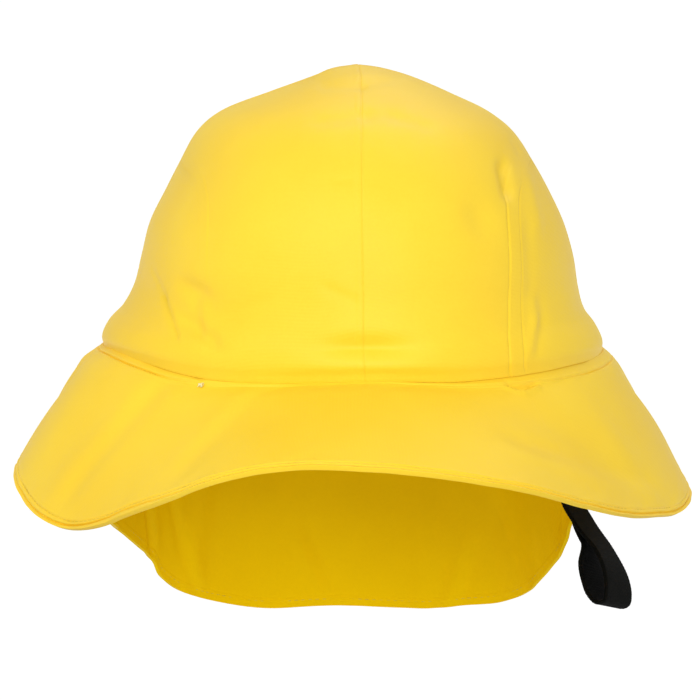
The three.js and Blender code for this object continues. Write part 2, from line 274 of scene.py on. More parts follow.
# Valleys (deep above 0) and ridges of brim and flap, by angle at the seam and at the edge
brimFolds = table("seamAt edgeAt wide deep", [
    [-50, -72, 8, 1.6],
    [-17, -28, 7, 1.2],
    [22, 60, 8, 1.3],
    [48, 57, 5, -0.9],
    [131, 131, 3, -0.9],
    [139.5, 139.5, 3, 0.9],
    [-150, -151.5, 3, 0.9],
    [155, 160, 6, 1.1],
    [176, 172, 7, 1],
    [-170, -166, 7, 1.2],
])

# The crown's lower edge turns out a little over the brim
edgeFlare = {"out": 0.6, "tall": 0.028}

# Steps and limits for the direction square to a surface, and where its relief sets in
crownRelief = {"step": (0.5, 0.004), "within": (0.004, 0.985), "levelTop": (0.9, 0.99), "faces": (0, 14)}
brimRelief = {"step": (0.5, -0.01), "within": (0.02, 0.99), "folds": (0.05, 0.6)}
# Millimetres along the brim for a degree and from seam to edge, and points to measure its rows with
brimScale = {"perDegree": 2.2, "perShare": 62, "samples": 201}

# Where a crease's lip lies and how its ends fade, in widths of the crease
creaseShape = {"lipAt": 1.7, "lipWide": 1.1, "ends": 1.5}

# Creases of the crown as seen from the front (side 1) or the back (side -1), in millimetres:
# a line in x and z, its width and depth, and the raised lip on the left of the line
crownCreases = table("side x1 z1 x2 z2 wide deep lip", [
    [1, 51.2, 69.8, 52.4, 63.4, 2.2, 2, 0.2],
    [1, 62.2, 7.7, 64.3, 17, 1.7, 0.35, 0.45],
    [1, 64.3, 17, 63.7, 24.3, 1.7, 0.35, 0.45],
    [1, 59.6, 48, 60, 28, 2.4, 0.5, 0],
    [1, 60.8, 65, 63.2, 51, 2.8, -0.9, 0],
    [1, 57, 78, 58.4, 75, 1.2, 0.4, 0],
    [1, -73.6, 32.3, -69.6, 24, 0.7, 0.55, 0.1],
    [1, -69.6, 24, -64.8, 12.6, 0.7, 0.9, 0.2],
    [1, -60.2, 29, -57.4, 28.2, 3, 1.6, 0],
    [1, -60, 17, -53, 12.4, 2.8, 1.6, 0],
    [1, -58.6, 25, -57.6, 15, 1.7, 0.35, 0.15],
    [1, -11.6, 98.2, 1.4, 98.6, 1.5, 0.65, 0],
    [1, 1.4, 98.6, 15.7, 100.6, 1.5, 0.55, 0],
    [1, -14, 87.4, 2, 89.4, 2, 0.55, 0],
    [1, 2, 89.4, 12, 89.2, 2, 0.5, 0],
    [1, 12, 89.2, 24, 85.4, 1.8, 0.5, 0],
    [1, -8.4, 68.4, -4, 68.6, 1.5, 0.35, 0],
    [1, -12, 31.6, -4.6, 28, 2.2, 0.4, 0],
    [1, 34, 20, 44, 14.5, 2.4, 0.35, 0.2],
    [1, -46, 20, -36, 26, 2.6, 0.35, 0.2],
    [-1, -30, 16, 22, 18.5, 2.6, 0.8, 0.4],
    [-1, 24, 40, 40, 30, 2.4, 0.5, 0.3],
    [-1, -44, 34, -30, 46, 2.4, 0.5, 0.3],
    [-1, -8, 70, 8, 68, 2.2, 0.4, 0],
    [-1, 58, 30, 64, 16, 1.8, 0.6, 0.3],
    [-1, -60, 34, -66, 14, 1.8, 0.6, 0.3],
])

# Creases of the brim and flap, from one angle and share of the way to the edge to another
brimCreases = table("angle1 share1 angle2 share2 wide deep lip", [
    [-46, 0.21, -55, 0.74, 6, 0.9, 0.3],
    [-21.7, 0.22, -27.3, 0.75, 5, 0.5, 0.2],
    [25.1, 0.55, 57, 0.76, 4.5, 0.8, 0.4],
    [31.6, 0.085, 34.2, 0.125, 1, 0.9, 0.7],
    [34.2, 0.125, 38.6, 0.095, 1, 0.9, 0.7],
    [-37.6, 0.03, -35.8, 0.04, 1, 0.6, 0],
    [84, 0.3, 96, 0.75, 6, 0.9, 0.4],
    [-84, 0.3, -92, 0.8, 6, 0.9, 0.4],
    [187.4, 0.8, 184, 0.93, 2.6, 0.7, 0.4],
    [156.4, 0.8, 160, 0.95, 2.6, 0.7, 0.4],
    [165, 0.45, 165.5, 0.95, 4.5, 0.6, 0.3],
    [229, 0.7, 223.4, 0.93, 3.2, -1.1, -0.5],
    [127.6, 0.45, 127.6, 0.84, 2.8, -1.3, -0.6],
    [217, 0.7, 208.6, 0.98, 2.6, -0.7, -0.4],
    [149, 0.72, 142, 0.97, 2.6, -0.7, 0.4],
    [205, 0.3, 210, 0.9, 5, 0.7, 0.2],
])


# A smooth curve through a table's rows, which closes on itself after a turn
def follow(rows, name, at, turn=0.0):
    by = list(rows)[0]
    x, y = rows[by], rows[name]
    if turn:
        x = np.concatenate([x[-2:] - turn, x, x[:2] + turn])
        y = np.concatenate([y[-2:], y, y[:2]])
    at = np.asarray(at, float)
    slope = np.gradient(y)
    slope[1:-1] = (y[2:] - y[:-2]) / (x[2:] - x[:-2])
    slope[0] = (y[1] - y[0]) / (x[1] - x[0])
    slope[-1] = (y[-1] - y[-2]) / (x[-1] - x[-2])
    i = np.clip(np.searchsorted(x, at, side="right") - 1, 0, len(x) - 2)
    span = x[i + 1] - x[i]
    t = (at - x[i]) / span
    rise = y[i + 1] - y[i]
    start, end = span * slope[i], span * slope[i + 1]
    return y[i] + start * t + (3 * rise - 2 * start - end) * t**2 + (start + end - 2 * rise) * t**3


def wrapped(angle):
    return np.mod(np.asarray(angle, float) + 180, 360) - 180


def smooth(x, low, high):
    t = np.clip((x - low) / (high - low), 0, 1)
    return t * t * (3 - 2 * t)


def hump(x, size):
    return np.exp(-((x / size) ** 2))


def mix(a, b, share):
    return a + (b - a) * share


def unit(v):
    return v / np.maximum(np.linalg.norm(v, axis=-1, keepdims=True), 1e-9)


# The opening's plan at an angle, as shares of its reach to the side and the front
def plan(angle):
    x, front = np.sin(np.radians(angle)), np.cos(np.radians(angle))
    n = opening["square"]
    scale = (np.abs(x) ** n + np.abs(front) ** n) ** (-1 / n)
    return x * scale, front * scale


def outward(surface, a, b, stepA, stepB):
    alongA = surface(a + stepA, b) - surface(a - stepA, b)
    alongB = surface(a, b + stepB) - surface(a, b - stepB)
    return unit(np.cross(alongA, alongB))


def crownForm(angle, up):
    angle, up = np.broadcast_arrays(np.asarray(angle, float), np.asarray(up, float))
    left, right, centre = (follow(crown, name, up) for name in ("left", "right", "seamX"))
    x, front = plan(angle)
    reach = np.where(front > 0, follow(crown, "front", up), follow(crown, "back", up))
    endZ = np.where(front > 0, follow(crown, "frontZ", up), follow(crown, "backZ", up))
    toSide = np.sin(np.radians(angle)) ** 2
    z = mix(endZ, follow(crown, "sideZ", up), toSide)
    z = z + follow(brim, "seamZ", wrapped(angle), 360) * np.clip(1 - up / seamFades, 0, 1)
    return np.stack([centre + np.where(x > 0, right - centre, left + centre) * x, -reach * front, z], -1)


# The level way outward at an angle
def levelOut(angle):
    return np.stack([np.sin(np.radians(angle)), -np.cos(np.radians(angle)), 0 * angle], -1)


def brimForm(angle, share):
    angle, share = np.broadcast_arrays(np.asarray(angle, float), np.asarray(share, float))
    side = wrapped(angle)
    x, front = plan(angle)
    seam = np.stack([opening["side"] * x, -opening["front"] * front, follow(brim, "seamZ", side, 360)], -1)
    reach, edgeZ = follow(brim, "reach", side, 360), follow(brim, "edgeZ", side, 360)
    away = levelOut(angle)
    edge = away * reach[..., None]
    edge[..., 2] = edgeZ
    run = reach - np.hypot(seam[..., 0], seam[..., 1])
    drop = seam[..., 2] - edgeZ
    slope = np.hypot(run, drop)
    belly = follow(brim, "belly", side, 360) * bellyCurve["scale"]
    belly = belly * np.maximum(share, 0) ** bellyCurve["power"] * (1 - share)
    point = mix(seam, edge, share[..., None]) + away * (belly * drop / slope)[..., None]
    point[..., 2] += belly * run / slope * smooth(share, *bellyCurve["rises"])
    return point


# How far a point stands off a crease's line: into the valley, or up onto the lip beside it
def creaseLift(x, y, x1, y1, x2, y2, wide, deep, lip):
    length = math.hypot(x2 - x1, y2 - y1)
    alongX, alongY = (x2 - x1) / length, (y2 - y1) / length
    along = (x - x1) * alongX + (y - y1) * alongY
    aside = (y - y1) * alongX - (x - x1) * alongY
    past = np.maximum(np.abs(along - length / 2) - length / 2, 0)
    raised = lip * hump(aside - creaseShape["lipAt"] * wide, creaseShape["lipWide"] * wide)
    return (raised - deep * hump(aside, wide)) * hump(past, creaseShape["ends"] * wide)


def crownPoint(angle, up):
    at = crownForm(angle, up)
    away = outward(crownForm, angle, np.clip(up, *crownRelief["within"]), *crownRelief["step"])
    top = smooth(np.asarray(up, float) + 0 * at[..., 0], *crownRelief["levelTop"])[..., None]
    away = unit(mix(away, np.array([0.0, 0.0, 1.0]), top))
    lift = edgeFlare["out"] * (1 - smooth(up, 0, edgeFlare["tall"])) + 0 * at[..., 0]
    for at0, up0, wide, tall, deep in zip(*crownFolds.values()):
        lift = lift - deep * hump(wrapped(angle - at0), wide) * hump(up - up0, tall)
    for side, *line in zip(*crownCreases.values()):
        facing = smooth(-side * at[..., 1], *crownRelief["faces"])
        lift = lift + facing * creaseLift(at[..., 0], at[..., 2], *line)
    return at + away * lift[..., None], away


def brimPoint(angle, share):
    away = outward(brimForm, angle, np.clip(share, *brimRelief["within"]), *brimRelief["step"])
    at = brimForm(angle, share)
    lift = 0 * at[..., 0]
    for seamAt, edgeAt, wide, deep in zip(*brimFolds.values()):
        fold = deep * hump(wrapped(angle - mix(seamAt, edgeAt, share)), wide)
        lift = lift - fold * smooth(share, *brimRelief["folds"])
    perDegree, perShare = brimScale["perDegree"], brimScale["perShare"]
    for angle1, share1, angle2, share2, *size in zip(*brimCreases.values()):
        middle = (angle1 + angle2) / 2
        x = wrapped(angle - middle) * perDegree
        first = ((angle1 - middle) * perDegree, share1 * perShare)
        last = ((angle2 - middle) * perDegree, share2 * perShare)
        lift = lift + creaseLift(x, share * perShare, *first, *last, *size)
    return at + away * lift[..., None], away


# Slow uneven waves, as sewing leaves them
def ripple(along, waves):
    return sum(np.sin(2 * math.pi * along / length + shift) for length, shift in waves) / len(waves)


def lengthAlong(points, axis):
    step = np.linalg.norm(np.diff(points, axis=axis), axis=-1)
    first = np.zeros_like(np.take(step, [0], axis=axis))
    return np.concatenate([first, np.cumsum(step, axis=axis)], axis=axis)


# Rows of coordinates, read off at places along their length
def readAlong(places, length, rows):
    return np.stack([np.interp(places, length, row) for row in rows.T], -1)


# Mesh helpers
def deselectAll():
    bpy.ops.object.select_all(action="DESELECT")


def pick(*objects):
    deselectAll()
    for item in objects:
        item.select_set(True)
    bpy.context.view_layer.objects.active = objects[0]


def readVectors(items, name):
    values = np.empty(len(items) * 3)
    items.foreach_get(name, values)
    return values.reshape(-1, 3)


# A grid primitive laid onto rows and columns of points, facing the way that away points. It carries
# the way to its inner face along as an attribute
def newSheet(name, points, inside, away, weave):
    across = np.cross(points[1:, 1:] - points[1:, :-1], points[1:, 1:] - points[:-1, 1:])
    if (across * away[1:, 1:]).sum() < 0:
        points, inside, weave = points[:, ::-1], inside[:, ::-1], weave[:, ::-1]
    rows, columns = points.shape[0] - 1, points.shape[1] - 1
    deselectAll()
    bpy.ops.mesh.primitive_grid_add(x_subdivisions=columns, y_subdivisions=rows, size=1)
    sheet = bpy.context.object
    sheet.name = name
    mesh = sheet.data
    grid = readVectors(mesh.vertices, "co")
    j = np.rint((grid[:, 0] + 0.5) * columns).astype(int)
    i = np.rint((grid[:, 1] + 0.5) * rows).astype(int)
    mesh.vertices.foreach_set("co", (points[i, j] * mm).ravel())
    toInside = mesh.attributes.new("toInside", "FLOAT_VECTOR", "POINT")
    toInside.data.foreach_set("vector", ((inside - points)[i, j] * mm).ravel())
    corner = np.empty(len(mesh.loops), int)
    mesh.loops.foreach_get("vertex_index", corner)
    mesh.uv_layers.active.data.foreach_set("uv", (weave[i, j][corner] * mm).ravel())
    mesh.update()
    return sheet


# Cloth lengths along and across the rows, for the weave
def weaveOf(points):
    across = lengthAlong(points, 1)
    return np.stack([across - across[:, -1:] / 2, lengthAlong(points, 0)], -1)


def useModifier(piece, kind, **settings):
    pick(piece)
    modifier = piece.modifiers.new(kind.lower(), kind)
    for key, value in settings.items():
        setattr(modifier, key, value)
    bpy.ops.object.modifier_apply(modifier=modifier.name)


# Solidify gives the sheet its second face, whose points are then put where the attribute says
def thicken(piece, wall, rim=0):
    piece.data.materials.clear()
    piece.data.materials.append(coatedCloth)
    piece.data.materials.append(clothInside)
    useModifier(piece, "SOLIDIFY", thickness=wall * mm, offset=-1, material_offset=1, material_offset_rim=rim)
    mesh = piece.data
    count = len(mesh.vertices) // 2
    place = readVectors(mesh.vertices, "co")
    toInside = mesh.attributes["toInside"]
    place[count:] = place[:count] + readVectors(toInside.data, "vector")[:count]
    mesh.vertices.foreach_set("co", place.ravel())
    mesh.attributes.remove(toInside)
    mesh.update()


def roundEdges(piece, width, segments, sharper=50):
    limit = math.radians(sharper)
    useModifier(piece, "BEVEL", width=width * mm, segments=segments, limit_method="ANGLE", angle_limit=limit)


def smoothShade(piece, degrees=60):
    pick(piece)
    bpy.ops.object.shade_smooth_by_angle(angle=math.radians(degrees))


def startEdit(piece, select):
    pick(piece)
    bpy.ops.object.mode_set(mode="EDIT")
    bpy.ops.mesh.select_all(action=select)


def mergeDoubles(piece, distance):
    startEdit(piece, "SELECT")
    bpy.ops.mesh.remove_doubles(threshold=distance * mm)
    bpy.ops.object.mode_set(mode="OBJECT")


def joinInto(first, *others):
    pick(first, *others)
    bpy.ops.object.join()
    return first


# Materials
clothFinish = {
    "colour": (0.955, 0.66, 0.036),
    "deepColour": (0.93, 0.615, 0.026),
    "innerColour": (0.97, 0.64, 0.0006),
    "innerDeep": (0.91, 0.585, 0.0004),
    "blotches": (0.32, 0.62),
    "broadNoise": (16, 3, 0.55),
    "fineNoise": (900, 2, 0.6),
    "fineShare": 0.25,
    "threads": 2100,
    "warp": 0.5,
    "innerWarp": 0.35,
    "roughness": (0.4, 0.5),
    "gloss": 0.22,
    "innerGloss": 0.02,
    "weaveDepth": 0.00003,
    "innerWeaveDepth": 0.00004,
    "weaveStrength": 0.5,
    "skinNoise": (520, 3, 0.5),
    "skinDepth": 0.00006,
    "softNoise": (70, 3, 0.45),
    "softDepth": 0.0003,
    "skinStrength": 0.6,
}


def clothMaterial(name, inner=False):
    finish = clothFinish
    material, tree, shader = newMaterial(name)
    place = addNode(tree, "ShaderNodeTexCoord")
    onObject, onCloth = place.outputs["Object"], place.outputs["UV"]
    broad = addNoise(tree, onObject, *finish["broadNoise"])
    fine = addNoise(tree, onObject, *finish["fineNoise"])
    broadPart = addMath(tree, "MULTIPLY", broad, 1 - finish["fineShare"])
    blend = addMath(tree, "ADD", broadPart, addMath(tree, "MULTIPLY", fine, finish["fineShare"]))
    light = finish["innerColour" if inner else "colour"]
    deep = finish["innerDeep" if inner else "deepColour"]
    colour = addRamp(tree, blend, finish["blotches"], (deep, light))
    # Warp and weft threads under the coating
    parts = addNode(tree, "ShaderNodeSeparateXYZ", Vector=onCloth).outputs
    warp, weft = (addRibs(tree, part, finish["threads"]) for part in parts[:2])
    warp = addMath(tree, "MULTIPLY", warp, finish["innerWarp" if inner else "warp"])
    weave = addMath(tree, "ADD", warp, weft)
    bump = addBump(tree, weave, finish["innerWeaveDepth" if inner else "weaveDepth"], finish["weaveStrength"])
    skin = addNoise(tree, onObject, *finish["skinNoise"])
    bump = addBump(tree, skin, finish["skinDepth"], finish["skinStrength"], Normal=bump)
    soft = addNoise(tree, onObject, *finish["softNoise"])
    bump = addBump(tree, soft, finish["softDepth"], finish["skinStrength"], Normal=bump)
    low, high = finish["roughness"]
    limits = {"From_Min": 0.3, "From_Max": 0.7, "To_Min": low, "To_Max": high}
    rough = addNode(tree, "ShaderNodeMapRange", Value=fine, **limits).outputs["Result"]
    gloss = finish["innerGloss" if inner else "gloss"]
    setInputs(tree, shader, Base_Color=colour, Normal=bump, Roughness=rough, Specular_IOR_Level=gloss)
    return material


coatedCloth = clothMaterial("coatedCloth")
clothInside = clothMaterial("clothInside", inner=True)


# The thread has the cloth's own yellow. Its colour is set a little darker than the cloth's as painted shade,
# for the shadow that sits where the stitches sink into their needle holes
threadFinish = {
    "colour": (0.88, 0.61, 0.018),
    "shade": 0.74,
    "blotches": (0.3, 0.7),
    "noise": (2400, 2),
    "depth": 0.0001,
    "strength": 0.5,
    "roughness": 0.55,
}


def threadMaterial(name, colour):
    finish = threadFinish
    material, tree, shader = newMaterial(name)
    place = addNode(tree, "ShaderNodeTexCoord").outputs["Object"]
    fuzz = addNoise(tree, place, *finish["noise"])
    shade = tuple(finish["shade"] * part for part in colour)
    bump = addBump(tree, fuzz, finish["depth"], finish["strength"])
    shaded = addRamp(tree, fuzz, finish["blotches"], (shade, colour))
    setInputs(tree, shader, Base_Color=shaded, Normal=bump, Roughness=finish["roughness"])
    return material


yellowThread = threadMaterial("yellowThread", threadFinish["colour"])

webbingFinish = {
    "colour": (0.0047, 0.0052, 0.0041),
    "deepColour": (0.0012, 0.0014, 0.0011),
    "blotches": (0.3, 0.75),
    "turnsBack": 0.0025,
    "ribs": 900,
    "cords": 1400,
    "cordShare": 0.5,
    "weaveShare": 0.12,
    "noise": (1800, 3),
    "depth": 0.00012,
    "strength": 0.7,
    "roughness": 0.8,
    "gloss": 0.08,
}


def webbingMaterial():
    finish = webbingFinish
    material, tree, shader = newMaterial("blackWebbing")
    place = addNode(tree, "ShaderNodeTexCoord")
    parts = addNode(tree, "ShaderNodeSeparateXYZ", Vector=place.outputs["UV"]).outputs
    # Herringbone: the diagonal ribs turn back every few millimetres across the width
    zigzag = addMath(tree, "PINGPONG", parts[0], finish["turnsBack"])
    rib = addRibs(tree, addMath(tree, "ADD", parts[1], zigzag), finish["ribs"])
    cord = addMath(tree, "MULTIPLY", addRibs(tree, parts[0], finish["cords"]), finish["cordShare"])
    weave = addMath(tree, "ADD", rib, cord)
    fuzz = addNoise(tree, place.outputs["Object"], *finish["noise"])
    blend = addMath(tree, "ADD", addMath(tree, "MULTIPLY", weave, finish["weaveShare"]), fuzz)
    shaded = addRamp(tree, blend, finish["blotches"], (finish["deepColour"], finish["colour"]))
    bump = addBump(tree, weave, finish["depth"], finish["strength"])
    setInputs(tree, shader, Base_Color=shaded, Normal=bump, Roughness=finish["roughness"])
    setInputs(tree, shader, Specular_IOR_Level=finish["gloss"])
    return material


blackWebbing = webbingMaterial()
print("stage: materials")


def finishCloth(piece, node):
    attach(piece, "root")
    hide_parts(node)


# Crown panels. Values for two sides are listed by side: 1 the viewer's right, -1 the viewer's left
panels = {
    "rowsBelow": 98,
    "rowsAbove": 48,
    "quarterColumns": 140,
    "sideColumns": 90,
    "wall": 1.5,
    "gap": {1: 0.05, -1: -0.08},
    "turnedIn": {1: 0.24, -1: 0.04},
    "lapWide": {1: 6.8, -1: 5},
    "lapProud": {1: 0.12, -1: 0.09},
    "lapGroove": {1: 0.3, -1: 0.05},
    "lapFrom": {1: (-9, -5), -1: (24, 44)},
    "lapFades": (64, 74),
    "centreProud": {1: 0, -1: 0.15},
    "centreIn": 0.14,
    "centreWide": 3,
    "centreEdge": 1.6,
    "seamTurn": 0.6,
    "lapEdge": 1.1,
    "lapGrooveWide": 0.3,
    "lapFaded": 0.85,
    "centreRows": 1.15,
    "sideRows": 1.1,
    "centreCrowd": 0.72,
    "sideCrowd": 0.6,
    "shoulder": (0.5, 0.68),
    "halvings": 30,
    "samples": 241,
    "wholeSamples": 161,
    "seamStep": 0.4,
    "merge": 0.02,
}


# Share of the height at which a side seam tops out, found by halving
def shoulderOf(side):
    name = "right" if side > 0 else "left"
    low, high = panels["shoulder"]
    for _ in range(panels["halvings"]):
        middle = (low + high) / 2
        if follow(crown, name, middle) > follow(sideSeam, "x", middle):
            low = middle
        else:
            high = middle
    return low


def seamAngle(side, up, shoulder):
    centre = side * follow(crown, "seamX", up)
    edge = follow(crown, "right" if side > 0 else "left", up)
    x = np.clip((follow(sideSeam, "x", up) - centre) / (edge - centre), 0, 1)
    n = opening["square"]
    angle = np.degrees(np.arctan2(x, (1 - x**n) ** (1 / n)))
    return np.where(up >= shoulder, 90, angle)


# The side seam by the share of its length, from the crown's base to its highest point over the ear
def seamLine(side, share):
    shoulder = shoulderOf(side)
    up = shoulder * (1 - (1 - np.linspace(0, 1, panels["samples"])) ** 2)
    angle = seamAngle(side, up, shoulder)
    length = lengthAlong(crownForm(side * angle, up), 0)
    return np.interp(share * length[-1], length, angle), np.interp(share * length[-1], length, up), shoulder


# How far each point lies from a side seam
def fromSideSeam(side, points):
    line = wholeSeam(side, panels["seamStep"])
    tree = KDTree(len(line))
    for i, place in enumerate(line):
        tree.insert(place, i)
    tree.balance()
    flat = points.reshape(-1, 3)
    return np.array([tree.find(place)[2] for place in flat]).reshape(points.shape[:-1])


# Outer face, inner face and outward direction of a panel, whose relief is worked out from its points
def panelSheet(angle, up, relief):
    points, away = crownPoint(angle, up)
    return points + away * relief(points)[..., None], points - away * panels["wall"], away


# The centre panels lie over the side panels with a raised lap, which a row of stitches holds down
def lapLift(side, points):
    gap = fromSideSeam(side, points)
    wide = panels["lapWide"][side]
    lift = panels["lapProud"][side] * (1 - smooth(gap, wide - panels["lapEdge"], wide))
    lift = lift - panels["lapGroove"][side] * hump(gap - wide, panels["lapGrooveWide"])
    shown = 1 - panels["lapFaded"] * smooth(points[..., 2], *panels["lapFades"])
    lift = lift * shown * smooth(points[..., 2], *panels["lapFrom"][side])
    lift = lift - panels["turnedIn"][side] * shown * (1 - smooth(gap, 0, panels["seamTurn"]))
    aside = np.abs(points[..., 0] - follow(crown, "seamX", np.clip(points[..., 2] / crownHigh, 0, 1)))
    wide = panels["centreWide"]
    lift = lift + panels["centreProud"][side] * (1 - smooth(aside, wide - panels["centreEdge"], wide))
    return lift - panels["centreIn"] * (1 - smooth(aside, 0, panels["seamTurn"]))


# Shares from 0 to 1 that lie closer together at both ends
def crowded(count, crowd):
    share = np.linspace(0, 1, count + 1)
    return share - crowd * np.sin(2 * math.pi * share) / (2 * math.pi)


def finishPanel(panel):
    mergeDoubles(panel, panels["merge"])
    thicken(panel, panels["wall"])
    smoothShade(panel)
    return panel


def centrePanel(side):
    below = np.linspace(0, 1, panels["rowsBelow"] + 1) ** panels["centreRows"]
    across = crowded(panels["quarterColumns"], panels["centreCrowd"])
    angle, up, shoulder = seamLine(side, below)
    above = np.linspace(0, 1, panels["rowsAbove"] + 1)[1:]
    start = mix(centreTop, shoulder, across**2)
    lower = mix(centreTop * below[:, None], up[:, None], across**2)
    upGrid = np.vstack([lower, mix(start, 1, above[:, None])])
    angleGrid = np.vstack([angle[:, None] * across, np.ones_like(above)[:, None] * 90 * across])
    halves = []
    for name, turned in (("front", angleGrid), ("back", 180 - angleGrid)):
        outer, inside, away = panelSheet(side * turned, upGrid, lambda points: lapLift(side, points))
        halves.append(newSheet(name, outer, inside, away, weaveOf(outer)))
    return finishPanel(joinInto(*halves))


# The side panels' edge turns in under the lap
def turnIn(side, points):
    return -panels["turnedIn"][side] * (1 - smooth(fromSideSeam(side, points), 0, panels["seamTurn"]))


def sidePanel(side):
    rows = np.linspace(0, 1, panels["rowsBelow"] + 1) ** panels["sideRows"]
    across = crowded(panels["sideColumns"], panels["sideCrowd"])
    angle, up, _ = seamLine(side, rows)
    turned = side * mix(angle[:, None], 180 - angle[:, None], across)
    outer, inside, away = panelSheet(turned, up[:, None] + 0 * across, lambda points: turnIn(side, points))
    gap = panels["gap"][side]
    shift = np.stack([side * gap + 0 * rows, 0 * rows, -rows * gap], -1)[:, None]
    return finishPanel(newSheet("sidePanel", outer + shift, inside + shift, away, weaveOf(outer)))


# The whole side seam from its front end over the ear to its back end, at even steps
def wholeSeam(side, step):
    share = np.linspace(0, 1, panels["wholeSamples"])
    angle, up, _ = seamLine(side, share)
    angle = side * np.concatenate([angle, 180 - angle[-2::-1]])
    up = np.concatenate([up, up[-2::-1]])
    points = crownForm(angle, up)
    length = lengthAlong(points, 0)
    even = np.linspace(0, length[-1], int(length[-1] / step) + 1)
    return crownForm(np.interp(even, length, angle), np.interp(even, length, up))


for side, word in ((-1, "Left"), (1, "Right")):
    centre = centrePanel(side)
    centre.name = "crownCentre" + word
    finishCloth(centre, "crown_centre_" + word.lower())
    ear = sidePanel(side)
    ear.name = "crownSide" + word
    finishCloth(ear, "crown_side_" + word.lower())
    print("stage: crown panels", word.lower())


# Brim and neck flap
# Stitches of band and hem, and the hem's groove: angle, distance from seam or edge, and depth
bandLine = table("at apart deep", [
    [-180, 4.5, 1],
    [-96, 2, 0],
    [-84, 2.6, 1.2],
    [-62, 3, 1.5],
    [-50, 2.8, 1.4],
    [-41, 2.2, 1.1],
    [-34, 1.4, 0.4],
    [0, 1.5, 0.3],
    [8, 1.8, 0.7],
    [20, 2.6, 0.8],
    [32, 3.3, 1],
    [45, 3.9, 1],
    [62, 4.4, 1],
    [180, 4.5, 1],
])
hemLine = table("at apart deep", [
    [-180, 3.4, 0.5],
    [-62, 3.4, 0.6],
    [-50, 2.9, 0.6],
    [-42, 3.4, 0.6],
    [-35, 3.8, 0.7],
    [-28, 3.7, 0.8],
    [-8, 2.9, 0.8],
    [6, 3.2, 0.7],
    [16, 2.7, 0.8],
    [30, 2.7, 0.6],
    [62, 2.9, 0.4],
    [180, 3.4, 0.6],
])
hemGroove = table("at apart deep", [
    [-118, 1.2, 0.6],
    [-62, 1.3, 1],
    [-50, 1.5, 1.2],
    [-42, 2.1, 1.3],
    [-35, 2.4, 1.3],
    [-28, 1.8, 1.2],
    [-8, 1.4, 1.1],
    [6, 1.7, 1],
    [16, 1.4, 1],
    [45, 1.3, 1],
    [80, 1.3, 0.9],
    [118, 1.2, 0.6],
])

# Rows by their distance from seam and edge. Those below 0 are the seam allowance inside the crown
brimSheet = {
    "columnStep": 1.55,
    "nearSeam": [-4, -2, -0.6, 0, 0.6, 1, *np.arange(1.3, 6.4, 0.2), 6.7, 7.3, 8],
    "nearEdge": [9, 8, 7, 6.2, 5.6, *np.arange(5.2, 0.8, -0.2), 0],
    "middleRows": 34,
    "wall": 1.6,
    "bandLine": bandLine,
    "slit": (0.12, 0.36),
    "slitTurns": (24, 50),
    "puffMost": 1.3,
    "uprightLeast": 0.4,
    "puffFrom": (-1.4, -0.2),
    "puffFades": 0.8,
    "ledge": {1: 1.7, -1: 1.6},
    "ledgeAt": 84,
    "ledgeWide": 26,
    "ledgeFrom": (0, 2),
    "ledgeTo": (3, 17),
    "waves": [(23, 0.3), (14.5, 1.7), (37, 4)],
    "waveHigh": 0.22,
    "edgeWaves": 9,
    "seamWaves": {"share": 0.8, "at": 6, "wide": 6, "from": (2, 5)},
    "hemLine": hemLine,
    "hemGroove": hemGroove,
    "grooveWide": 0.3,
    "edgeProud": 0.12,
    "edgeFrom": (0.7, 1),
    "hemFolds": 0.9,
    "plyEnds": 0.5,
    "innerPly": 0.2,
    "innerHem": 0.8,
    "innerFollows": 0.4,
    "edgeRoll": 0.65,
    "rollSteps": 4,
    "rim": 0,
}
flapSheet = dict(
    brimSheet,
    hemGroove=None,
    hemLine=table("at apart deep", [[-180, 3, 1], [180, 3, 1]]),
    innerPly=0.08,
    innerHem=0.35,
    wall=1.4,
    edgeRoll=0.5,
    middleRows=58,
    rim=1,
)
crownOverhang = {"front": 3.2, "side": 1.4}
# The seam allowance turns up into the crown
allowance = {"turns": (0, 0.6), "inward": 0.45}
# A sewn line: a groove between two soft pads
sewn = {"padHigh": 0.12, "padAt": 1.0, "padWide": 0.6, "deep": 0.6, "wide": 0.32}


# How far the crown stands out over the sewn line
def overhang(angle):
    return mix(crownOverhang["front"], crownOverhang["side"], np.sin(np.radians(angle)) ** 2)


# Shares from seam to edge, and the brim's length up to each
def brimLengths(angles):
    shares = np.linspace(0, 1, brimScale["samples"])
    return shares, lengthAlong(brimForm(angles[None], shares[:, None]), 0)


# Rows by distance from the seam and from the edge, columns by angle
def brimGrid(start, end, values):
    columns = round((end - start) * brimScale["perDegree"] / values["columnStep"])
    angles = np.linspace(start, end, columns + 1)
    shares, length = brimLengths(angles)
    total = length[-1]
    near, far = np.array(values["nearSeam"]), np.array(values["nearEdge"])
    middle = np.linspace(0, 1, values["middleRows"] + 2)[1:-1, None]
    near = near[:, None] + smooth(near, 0, 1)[:, None] * (overhang(angles) - crownOverhang["side"])
    fromSeam = np.vstack([near, mix(near[-1], total - far[0], middle), total - far[:, None]])
    share = np.stack([np.interp(fromSeam[:, j], length[:, j], shares) for j in range(columns + 1)], 1)
    return angles[None] + 0 * share, share, fromSeam, total - fromSeam


# The rows above the seam stand up inside the crown
def standUp(at, away, angle, fromSeam):
    above = np.maximum(-fromSeam, 0)
    flat = levelOut(angle)
    turned = smooth(above, *allowance["turns"])
    away = unit(mix(away, flat, turned[..., None]))
    at = at - flat * (allowance["inward"] * turned)[..., None]
    at[..., 2] += above
    return at, away


def stitchGroove(distance, angle, line):
    distance = distance - follow(line, "apart", wrapped(angle))
    pads = sewn["padHigh"] * hump(np.abs(distance) - sewn["padAt"], sewn["padWide"])
    return (pads - sewn["deep"] * hump(distance, sewn["wide"])) * follow(line, "deep", wrapped(angle))


